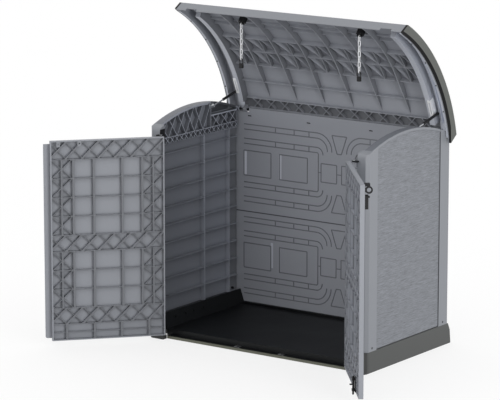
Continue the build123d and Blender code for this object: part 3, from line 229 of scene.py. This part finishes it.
class BoxStage(bpy.types.PropertyGroup):
    """Camera, lamp and floor."""

    camera_place: bpy.props.FloatVectorProperty(
        name="Camera place", description="Where the camera stands", subtype="TRANSLATION", size=3,
        default=(8.9309, -13.0473, 4.0247),
    )
    camera_turn: bpy.props.FloatProperty(
        name="Camera turn", description="Heading of the camera to the left of straight ahead",
        subtype="ANGLE", default=math.radians(35.354),
    )
    camera_dip: bpy.props.FloatProperty(
        name="Camera dip", description="How far the camera looks down",
        subtype="ANGLE", default=math.radians(11.651),
    )
    lens: bpy.props.FloatProperty(
        name="Lens", description="Focal length on a sensor 36 mm wide", default=218.6, min=20, max=600
    )
    ambient: bpy.props.FloatProperty(
        name="Ambient", description="Strength of the light from all round", default=1.0, min=0
    )
    side: bpy.props.FloatProperty(
        name="Side lamp", description="Power of the low lamp on the right", default=190, min=0, unit="POWER"
    )
    lamp_place: bpy.props.FloatVectorProperty(
        name="Lamp place", description="Where the side lamp stands", subtype="TRANSLATION", size=3,
        default=(7.6, -3.2, 1.1),
    )
    lamp_size: bpy.props.FloatProperty(
        name="Lamp size", description="Width of the side lamp's square face",
        default=2.5, min=0, unit="LENGTH",
    )
    floor_shade: bpy.props.FloatProperty(
        name="Shadow share", description="How much of the floor's shading the camera sees",
        default=0.25, min=0, max=1,
    )


class Value:
    """A socket of a node tree. Arithmetic on it adds Math nodes."""

    def __init__(self, nodes, socket):
        self.nodes = nodes
        self.socket = socket

    def maths(self, operation, first, second=0.0):
        return self.nodes.node("ShaderNodeMath", {"operation": operation}, {0: first, 1: second})

    def __add__(self, other):
        return self.maths("ADD", self, other)

    def __sub__(self, other):
        return self.maths("SUBTRACT", self, other)

    def __rsub__(self, other):
        return self.maths("SUBTRACT", other, self)

    def __mul__(self, other):
        return self.maths("MULTIPLY", self, other)

    def __abs__(self):
        return self.maths("ABSOLUTE", self)

    __radd__ = __add__
    __rmul__ = __mul__

    def rises(self, place, soft=SHARP):
        """0 below a place and 1 above it, with a soft step between."""
        values = {"Value": self, "From Min": place - soft, "From Max": place + soft}
        return self.nodes.node("ShaderNodeMapRange", {"interpolation_type": "SMOOTHSTEP"}, values)

    def between(self, low, high, soft=SHARP):
        """1 between two places and 0 outside them."""
        return self.rises(low, soft) * (1 - self.rises(high, soft))


class Nodes:
    """A node tree, and the method that adds every node to it."""

    def __init__(self, tree):
        self.tree = tree

    def node(self, kind, settings=None, values=None, out=0):
        made = self.tree.nodes.new(kind)
        for name, setting in (settings or {}).items():
            setattr(made, name, setting)
        for key, value in (values or {}).items():
            if isinstance(value, Value):
                self.link(value, made.inputs[key])
            else:
                made.inputs[key].default_value = value
        return Value(self, made.outputs[out])

    def link(self, value, socket):
        self.tree.links.new(value.socket, socket)

    def seen(self):
        """1 for what the camera sees straight or mirrored, 0 for light on its way round the room."""
        straight = self.node("ShaderNodeLightPath", out="Is Camera Ray")
        return straight + self.node("ShaderNodeLightPath", out="Is Glossy Ray")


class Finish(Nodes):
    """One material, its shader and the nodes that feed it."""

    def __init__(self, name, roughness, metallic=0.0, shine=0.5):
        self.material = bpy.data.materials.new(name)
        self.material.use_nodes = True
        super().__init__(self.material.node_tree)
        self.shader = self.tree.nodes["Principled BSDF"]
        self.shader.inputs["Roughness"].default_value = roughness
        self.shader.inputs["Metallic"].default_value = metallic
        self.shader.inputs["Specular IOR Level"].default_value = shine

    def feed(self, socket, value):
        self.link(value, self.shader.inputs[socket])

    def place(self):
        return self.node("ShaderNodeTexCoord", out="Object")

    def axes(self, vector):
        first = self.node("ShaderNodeSeparateXYZ", None, {0: vector})
        return [Value(self, socket) for socket in first.socket.node.outputs]

    def facing(self):
        """How far a face looks to the left or the right, 0 to 1."""
        return abs(self.axes(self.node("ShaderNodeTexCoord", out="Normal"))[0])

    def turned(self, vector, angle, scale=(1, 1, 1)):
        """The pattern's space, turned about the upright axis and then stretched."""
        values = {"Vector": vector, "Rotation": (0, 0, angle)}
        level = self.node("ShaderNodeMapping", {"vector_type": "POINT"}, values)
        return self.node("ShaderNodeVectorMath", {"operation": "MULTIPLY"}, {0: level, 1: scale})

    def noise(self, vector, scale=1.0, detail=4.0, rough=0.6):
        """Cloudy noise, as a value about 0."""
        values = {"Vector": vector, "Scale": scale, "Detail": detail, "Roughness": rough}
        return self.node("ShaderNodeTexNoise", None, values) - 0.5

    def mix(self, factor, first, second):
        values = {0: factor, MIX_FIRST: as_colour(first), MIX_SECOND: as_colour(second)}
        return self.node("ShaderNodeMix", {"data_type": "RGBA"}, values, out=MIX_RESULT)

    def layered(self, colour, *layers):
        """A colour with others laid over it in turn, each where its mask is 1."""
        for mask, cover in layers:
            colour = self.mix(mask, colour, cover)
        return colour

    def shaded(self, colour, amount):
        """A colour made lighter or darker by a value about 0."""
        level = 1 + amount
        factor = self.node("ShaderNodeCombineXYZ", None, {axis: level for axis in range(3)})
        return self.node("ShaderNodeVectorMath", {"operation": "MULTIPLY"}, {0: colour, 1: factor})

    def corner_shade(self, reach):
        """Painted shade: 0 on open faces, rising towards 1 in the corners between ribs."""
        settings = {"only_local": True, "samples": 8}
        return 1 - self.node("ShaderNodeAmbientOcclusion", settings, {"Distance": reach}, out="AO")

    def relief(self, height, depth):
        values = {"Height": height, "Distance": depth, "Strength": 1.0}
        self.feed("Normal", self.node("ShaderNodeBump", None, values))


def as_colour(value):
    """A socket as it is, or a colour with full cover."""
    return value if isinstance(value, Value) else (*value, 1.0)


def finishes():
    return bpy.context.scene.box_finishes


def toned(colour, share):
    """A colour with a share of its brightness, lighter where the share is over 1."""
    return tuple(part * share for part in colour)


def plain(colour):
    """One colour all over."""
    return lambda made, place: made.mix(0.5, colour, colour)


def moulded(name, colour, roughness, mottle=0.05, shine=0.5):
    """Plain moulded resin: faint clouds of tone and a fine mould texture."""
    made = Finish(name, roughness, shine=shine)
    place = made.place()
    clouds = made.noise(place, CLOUDS, detail=3.0)
    speck = made.noise(place, SPECKS, detail=2.0)
    tone = clouds * mottle + speck * (mottle * SPECK_SHARE)
    made.feed("Base Color", made.shaded(colour(made, place), tone))
    made.feed("Roughness", clouds * MOULD_ROUGHNESS + roughness)
    made.relief(speck, finishes().mould_depth)
    return made


def grained(made, place, angle):
    """Brushed wood grain: long level streaks in two sizes, as a value about 0."""
    coarse = made.noise(made.turned(place, angle, GRAIN_COARSE), detail=4.0)
    fine = made.noise(made.turned(place, angle, GRAIN_FINE), detail=3.0)
    return coarse * COARSE_WEIGHT + fine * FINE_WEIGHT


def faced(name, mask, inside, reach, angle=0.0, shade_and_groove=None):
    """Resin with a wood-grained outer face: mask is 1 on the grained face, inside colours the rest, and the
    corners between ribs get painted shade.
    """
    made = Finish(name, roughness=0.5)
    place = made.place()
    covered = mask(made, place)
    grain = covered * grained(made, place, angle)
    clouds = made.noise(place, PANEL_CLOUDS, detail=3.0)
    speck = made.noise(place, SPECKS, detail=2.0)
    base = made.mix(covered, inside(made, place), finishes().panel)
    # Painted shade and a dark groove laid over in the hardware colour
    if shade_and_groove:
        base = made.mix(shade_and_groove(made, place), base, finishes().hardware)
    tone = grain * finishes().grain_tone + clouds * PANEL_CLOUD_TONE + speck * PANEL_SPECK_TONE
    # Painted shade in the corners between ribs, from an ambient occlusion node
    made.feed("Base Color", made.shaded(base, tone - made.corner_shade(reach) * finishes().crevice_shade))
    made.feed("Roughness", covered * GRAIN_ROUGHNESS + clouds * CLOUD_ROUGHNESS + PANEL_ROUGHNESS)
    made.relief(grain * GRAIN_RELIEF + speck, finishes().mould_depth)
    return made


def dress(finish, *names):
    """Give CAD nodes a finish."""
    for name in names:
        data = NODES[name].data
        data.materials.clear()
        data.materials.append(finish.material)


def pairs(*stems):
    """The left and the right node of each stem."""
    return [f"{stem}_{hand}" for stem in stems for hand in ("left", "right")]


class BOX_OT_walls(bpy.types.Operator):
    """Finish the walls: grained panels outside, smooth posts and a ribbed lining"""

    bl_idname = "storage_box.walls"
    bl_label = "Walls"

    def execute(self, context):
        tones = finishes()

        def panel(made, place):
            x, y, z = made.axes(place)
            return abs(x).between(*WALL_PANEL) * y.between(*PANEL_SPAN)

        def inside(made, place):
            x, y, z = made.axes(place)
            lined = (1 - abs(x).rises(WALL_LINING)) * y.between(*LINING_SPAN, SOFT)
            level = made.facing().rises(*SIDEWAYS)
            tops = level * (1 - abs(x).rises(RIB_FACE))
            arch = z.rises(LATTICE_FOOT, LATTICE_STEP)
            # Where and how strongly the rib tops get a painted highlight: on the arch's lattice and on the
            # upright below it
            pale = arch * LATTICE_HIGHLIGHT_COVER + y.between(*UPRIGHT) * (1 - arch) * UPRIGHT_HIGHLIGHT_COVER
            lining = made.layered(
                # painted shade towards the front of the lining
                toned(tones.lining, LINING_FRONT_SHADE),
                (y.rises(*LINING_SHADE_RUN), tones.lining),
                # painted highlight on the rib tops
                (tops * pale, toned(tones.lining, RIB_TOP_HIGHLIGHT)),
                # painted shade on the lattice's sides
                ((1 - level) * arch, toned(tones.lining, LATTICE_SIDE_SHADE)),
            )
            return made.mix(lined, tones.shell, lining)

        def shade_and_groove(made, place):
            """Painted shadow as a dark line at the foot, painted shade in the strut's pocket, and the dark
            groove beside the rear post.
            """
            x, y, z = made.axes(place)
            foot_shadow = y.between(*PANEL_SPAN) * (1 - z.rises(WALL_FOOT))
            pocket_shade = (1 - abs(x).rises(WALL_LINING)) * y.between(*POCKET_SPAN, SOFT)
            pocket_shade = pocket_shade * z.rises(POCKET_FLOOR, CLEAR)
            groove = y.between(*POST_GROOVE) * abs(x).rises(WALL_PANEL[0]) * z.rises(WALL_FOOT)
            return foot_shadow * FOOT_SHADOW_COVER + pocket_shade * POCKET_SHADE_COVER + groove * GROOVE_COVER

        dress(faced("wall_resin", panel, inside, reach=0.02, shade_and_groove=shade_and_groove), "left_wall", "right_wall")
        return {"FINISHED"}


class BOX_OT_doors(bpy.types.Operator):
    """Finish the doors: grained outer skins and ribbed insides"""

    bl_idname = "storage_box.doors"
    bl_label = "Doors"

    def execute(self, context):
        for door in DOORS:
            self.finish_door(door, math.radians(door.turn))
        return {"FINISHED"}

    def finish_door(self, door, angle):
        resin = finishes().inside
        # The door's share of the resin, painted light where it is over 1
        tone = toned(resin, door.tone)

        def closed(made, place):
            """Across from the hinge, depth and height, as on the closed door."""
            values = {0: place, 1: (door.pivot, PIVOT_LINE, 0.0)}
            moved = made.node("ShaderNodeVectorMath", {"operation": "SUBTRACT"}, values)
            across, depth, up = made.axes(made.turned(moved, -angle))
            return across * math.copysign(1, -door.pivot), depth, up

        def outer(made, place):
            across, depth, up = closed(made, place)
            strip = across.rises(door.width - STRIP_EDGE) * depth.rises(STRIP_FACE)
            return (1 - depth.rises(DOOR_SKIN[0])) * (1 - strip)

        def inside(made, place):
            across, depth, up = closed(made, place)
            inner = across.between(HINGE_EDGE, door.width - FREE_EDGE) * up.between(*DOOR_SPAN)
            tops = inner * depth.rises(DOOR_RIB_TOP, DOOR_RIB_STEP)
            shaded_roots = inner * depth.between(DOOR_SKIN[1], DOOR_RIB_ROOT, DOOR_RIB_STEP)
            # Painted shade on the rib roots; the rib tops are darker
            return made.layered(
                resin, (inner, tone), (tops, toned(tone, DOOR_TOP_TONE)), (shaded_roots, toned(tone, DOOR_ROOT_SHADE))
            )

        resin_name = f"{door.hand}_door_resin"
        dress(faced(resin_name, outer, inside, reach=0.014, angle=-angle), f"{door.hand}_door")


class BOX_OT_back(bpy.types.Operator):
    """Finish the embossed back panels"""

    bl_idname = "storage_box.back"
    bl_label = "Back panels"

    def execute(self, context):
        tones = finishes()

        def embossed(made, place):
            x, y, z = made.axes(place)
            sunk = y.between(BACK_FACE, BACK_OUTSIDE, FINE)
            face = 1 - y.rises(BACK_FACE, FINE)
            layers = [
                # painted shade in the sunk grooves
                (sunk, toned(tones.back, GROOVE_SHADE)),
                (sunk * z.rises(VENT_FOOT, SOFT), tones.hardware),
            ]
            # Painted highlights in the shape of pale upright ridges, on the flat face
            for highlight in RIDGE_HIGHLIGHTS:
                wide = x.between(highlight.across - HIGHLIGHT_HALF, highlight.across + HIGHLIGHT_HALF, CLEAR)
                tall = z.between(highlight.low, highlight.high, SOFT)
                layers.append((wide * tall * face, toned(tones.back, highlight.tone)))
            layers.append((y.rises(BACK_OUTSIDE, FINE), tones.shell))
            layers.append((z.between(*BACK_SEAM, CLEAR) * SEAM_COVER, tones.hardware))
            return made.layered(tones.back, *layers)

        dress(moulded("back_resin", embossed, roughness=0.5), "back_panel_lower", "back_panel_upper")
        return {"FINISHED"}


class BOX_OT_lid(bpy.types.Operator):
    """Finish the lid and its end trims"""

    bl_idname = "storage_box.lid"
    bl_label = "Lid"

    def execute(self, context):
        tones = finishes()
        turn = math.radians(LID_TURN)

        def arc(made, place):
            """Across the lid, forward from the arc's middle and squared distance from its centre."""
            x, y, z = made.axes(place)
            back, up = y - LID_CENTRE[0], z - LID_CENTRE[1]
            return x, up * math.sin(turn) - back * math.cos(turn), back * back + up * up

        def outside(made, place):
            return arc(made, place)[2].rises(LID_OUTSIDE ** 2, ARC_STEP)

        def inside(made, place):
            x, forward, reach = arc(made, place)
            end = abs(x)
            skin = reach.rises(LID_INSIDE ** 2, ARC_STEP)
            deep = reach.rises(FLANGE_FACE ** 2, FLANGE_STEP)
            braced = forward.between(*BRACED_BAND, SOFT) * BRACED_SHADE_COVER
            rear = forward.between(*REAR_BAND, SOFT)
            ribs = made.facing().rises(*SIDEWAYS) * (1 - end.rises(RIB_END, CLEAR))
            # Painted light in the end valleys; on the left it fades to painted shade near the flange
            painted_valley = end.rises(LID_RAIL, CLEAR) * deep
            left_valley_light_and_shade = made.mix(
                end.rises(*VALLEY_LIGHT_RUN),
                toned(tones.lid, VALLEY_INNER_LIGHT),
                toned(tones.lid, VALLEY_OUTER_SHADE),
            )
            right_valley_light = toned(tones.lid, VALLEY_RIGHT_LIGHT)
            return made.layered(
                tones.lid,
                # painted shade on the skin of the braced band
                (skin * braced, toned(tones.lid, BRACED_SHADE)),
                # painted shade on the ribs' sideways faces
                (ribs, toned(tones.lid, LID_RIB_SHADE)),
                # painted shade over the rear lattice, deeper on its skin between the ribs
                (rear, toned(tones.lid, REAR_RIB_SHADE)),
                (rear * skin, toned(tones.lid, REAR_SKIN_SHADE)),
                # painted light and shade in the end valleys
                (painted_valley, made.mix(x.rises(*LEFT_TO_RIGHT), left_valley_light_and_shade, right_valley_light)),
                # painted light on the rails' faces
                (end.between(*RAIL_FACE, FINE) * (1 - deep), toned(tones.lid, RAIL_LIGHT)),
                # painted shade on the rails' sides
                (end.between(*RAIL_SIDE, FINE) * deep, toned(tones.lid, RAIL_SIDE_SHADE)),
                # painted light on the flanges
                (end.rises(LID_FLANGE) * (1 - deep), toned(tones.lid, FLANGE_LIGHT)),
                (forward.rises(LID_LIP, CLEAR), tones.shell),
            )

        def trim(made, place):
            across = abs(made.axes(place)[0])
            return made.layered(
                tones.shell,
                # painted shade on the trims' edges, in half-strength black
                (across.rises(TRIM_FOOT, TRIM_STEP), toned(tones.hardware, TRIM_EDGE_SHADE)),
                (across.rises(TRIM_SIDE, TRIM_STEP), tones.trim),
            )

        dress(faced("lid_resin", outside, inside, reach=0.03), "lid_shell")
        dress(moulded("lid_trim_resin", trim, roughness=0.55, mottle=0.08, shine=0.2), *pairs("lid_trim"))
        return {"FINISHED"}


class BOX_OT_base(bpy.types.Operator):
    """Finish the base rails, the floor tray and the sill"""

    bl_idname = "storage_box.base"
    bl_label = "Base"

    def execute(self, context):
        tones = finishes()

        def skirt(made, place):
            y = made.axes(place)[1]
            # Painted shade on the front of the corner blocks
            return made.mix(y.rises(*CORNER_SHADE_RUN), toned(tones.skirt, CORNER_SHADE), tones.skirt)

        dress(moulded("skirt_resin", skirt, roughness=0.42), *pairs("base_rail"), "base_rail_rear")
        # The tray's near-black is partly its dark resin and partly painted shade
        tray = moulded("floor_resin_and_shade", plain(tones.floor), roughness=0.45, mottle=0.12, shine=0.25)
        dress(tray, "floor_panel")
        dress(moulded("sill_resin", plain(tones.sill), roughness=0.45), "front_sill")
        return {"FINISHED"}


class BOX_OT_hardware(bpy.types.Operator):
    """Finish the black hardware: handle, bolt, brackets, clips, strut cylinders, lid pins and screws"""

    bl_idname = "storage_box.hardware"
    bl_label = "Black hardware"

    def execute(self, context):
        tones = finishes()
        black = moulded("black_hardware", plain(tones.hardware), roughness=0.4, mottle=0.15, shine=0.3)
        dress(black, "handle_plate", "hasp_ring", "handle_lever", "bolt_housing", "slide_bolt")
        dress(black, "wall_screws", "trim_screws")
        dress(black, *pairs("hinge_bracket", "chain_mount", "chain_clip", "strut_cylinder", "lid_pin"))
        dress(moulded("strike_resin", plain(tones.shell), roughness=0.4), "strike_plates")
        return {"FINISHED"}


class BOX_OT_metal(bpy.types.Operator):
    """Finish the bright chains and plates, the zinc pins and keepers and the polished strut rods"""

    bl_idname = "storage_box.metal"
    bl_label = "Bright metal"

    def execute(self, context):
        tones = finishes()
        zinc = pairs("door_pins", "strut_mount") + ["floor_keepers"]
        bright = pairs("strut_bracket", "chain")
        self.plate("zinc_plate", tones.zinc, zinc, roughness=0.34)
        self.plate("bright_plate", tones.bright, bright, roughness=0.5, metallic=0.45)
        self.plate("polished_rod", tones.rod, pairs("strut_rod"), roughness=0.18)
        return {"FINISHED"}

    def plate(self, name, colour, pieces, roughness, metallic=1.0):
        made = Finish(name, roughness, metallic)
        place = made.place()
        bloom = made.noise(place, METAL_BLOOM, detail=4.0)
        scratch = made.noise(place, METAL_SCRATCHES, detail=2.0)
        tone = bloom * BLOOM_TONE + scratch * SCRATCH_TONE
        made.feed("Base Color", made.shaded(plain(colour)(made, place), tone))
        made.feed("Roughness", bloom * BLOOM_ROUGHNESS + scratch * SCRATCH_ROUGHNESS + roughness)
        dress(made, *pieces)


class BOX_OT_stage(bpy.types.Operator):
    """Set the floor, the white surroundings, the side lamp and the camera"""

    bl_idname = "storage_box.stage"
    bl_label = "Stage and camera"

    def execute(self, context):
        stage = context.scene.box_stage
        self.set_ground(context, stage)
        self.set_room(context, stage)
        self.set_lamp(context, stage)
        self.set_camera(context, stage)
        context.scene.view_settings.view_transform = "Standard"
        return {"FINISHED"}

    def set_ground(self, context, stage):
        bpy.ops.object.select_all(action="DESELECT")
        bpy.ops.mesh.primitive_plane_add(size=GROUND_SIZE)
        ground = context.active_object
        ground.name = "ground"
        pale = Finish("pale_ground", roughness=0.9)
        seen = pale.seen()
        pale.feed("Base Color", pale.mix(seen, GROUND_BOUNCE, WHITE))
        lit = Value(pale, pale.shader.outputs[0])
        glow = pale.node("ShaderNodeEmission", None, {"Strength": 1.0})
        shares = {0: seen * (1 - stage.floor_shade), 1: lit, 2: glow}
        mixed = pale.node("ShaderNodeMixShader", None, shares)
        pale.link(mixed, pale.tree.nodes["Material Output"].inputs["Surface"])
        ground.data.materials.append(pale.material)

    def set_room(self, context, stage):
        world = bpy.data.worlds.new("white_room")
        world.use_nodes = True
        context.scene.world = world
        room = Nodes(world.node_tree)
        background = room.tree.nodes["Background"]
        background.inputs["Color"].default_value = as_colour(WHITE)
        values = {"Value": room.seen(), "To Min": stage.ambient, "To Max": 1.0}
        room.link(room.node("ShaderNodeMapRange", None, values), background.inputs["Strength"])

    def set_lamp(self, context, stage):
        lamp = bpy.data.objects.new("side_lamp", bpy.data.lights.new("side_lamp", "AREA"))
        lamp.data.energy = stage.side
        lamp.data.size = stage.lamp_size
        lamp.location = stage.lamp_place
        lamp.rotation_euler = (LAMP_AIM - lamp.location).to_track_quat("-Z", "Y").to_euler()
        context.scene.collection.objects.link(lamp)

    def set_camera(self, context, stage):
        turn, dip = stage.camera_turn, stage.camera_dip
        ahead = Vector((-math.sin(turn) * math.cos(dip), math.cos(turn) * math.cos(dip), -math.sin(dip)))
        right = Vector((math.cos(turn), math.sin(turn), 0))
        up = right.cross(ahead)
        camera = bpy.data.objects.new("camera", bpy.data.cameras.new("camera"))
        camera.data.lens = stage.lens
        camera.data.sensor_width = SENSOR_WIDTH
        camera.data.clip_end = VIEW_DEPTH
        heading = Matrix((right, up, -ahead)).transposed().to_4x4()
        camera.matrix_world = Matrix.Translation(stage.camera_place) @ heading
        context.scene.collection.objects.link(camera)
        context.scene.camera = camera


STEPS = (
    BOX_OT_stage,
    BOX_OT_walls,
    BOX_OT_doors,
    BOX_OT_back,
    BOX_OT_lid,
    BOX_OT_base,
    BOX_OT_hardware,
    BOX_OT_metal,
)


class BOX_PT_panel(bpy.types.Panel):
    """Steps and sizes of the storage box"""

    bl_label = "Garden storage box"
    bl_space_type = "VIEW_3D"
    bl_region_type = "UI"
    bl_category = "Storage box"

    def draw(self, context):
        for step in STEPS:
            self.layout.operator(step.bl_idname)
        for kind, group in ((BoxFinishes, context.scene.box_finishes), (BoxStage, context.scene.box_stage)):
            for name in kind.__annotations__:
                self.layout.prop(group, name)


CLASSES = (BoxFinishes, BoxStage, *STEPS, BOX_PT_panel)


def register():
    for made in CLASSES:
        bpy.utils.register_class(made)
    bpy.types.Scene.box_finishes = bpy.props.PointerProperty(type=BoxFinishes)
    bpy.types.Scene.box_stage = bpy.props.PointerProperty(type=BoxStage)


def unregister():
    del bpy.types.Scene.box_finishes, bpy.types.Scene.box_stage
    for made in reversed(CLASSES):
        bpy.utils.unregister_class(made)


def main():
    register()
    for step in STEPS:
        group, name = step.bl_idname.split(".")
        getattr(getattr(bpy.ops, group), name)()


if __name__ == "__main__":
    main()
